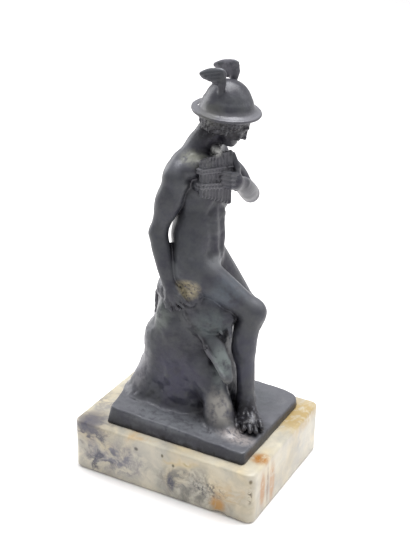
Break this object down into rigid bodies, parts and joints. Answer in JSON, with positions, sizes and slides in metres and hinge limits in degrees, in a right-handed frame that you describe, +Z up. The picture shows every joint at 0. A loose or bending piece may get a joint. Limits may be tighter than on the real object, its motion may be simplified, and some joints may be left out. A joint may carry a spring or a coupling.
{
  "type": "bronze statuette",
  "caption": "Small patinated bronze of a seated youth in a winged hat who holds pan pipes to his chest, on a rock, a bronze plinth and a marble base; a desk or shelf ornament.",
  "frame": {"origin": "middle of the marble's underside", "axes": "+Z up, -Y along the normal of the base's wide front side, +X along that side, roughly the way the youth faces"},
  "size_m": [0.11, 0.084, 0.2261],
  "materials": {
    "marble_base": "polished cream onyx marble with blue-grey and ochre veins",
    "bronze_mercury": "bronze with a satin grey-black and grey-green patina"
  },
  "bodies": {
    "root": {"marble_base": "marble_base", "bronze_mercury": "bronze_mercury"}
  },
  "joints": []
}
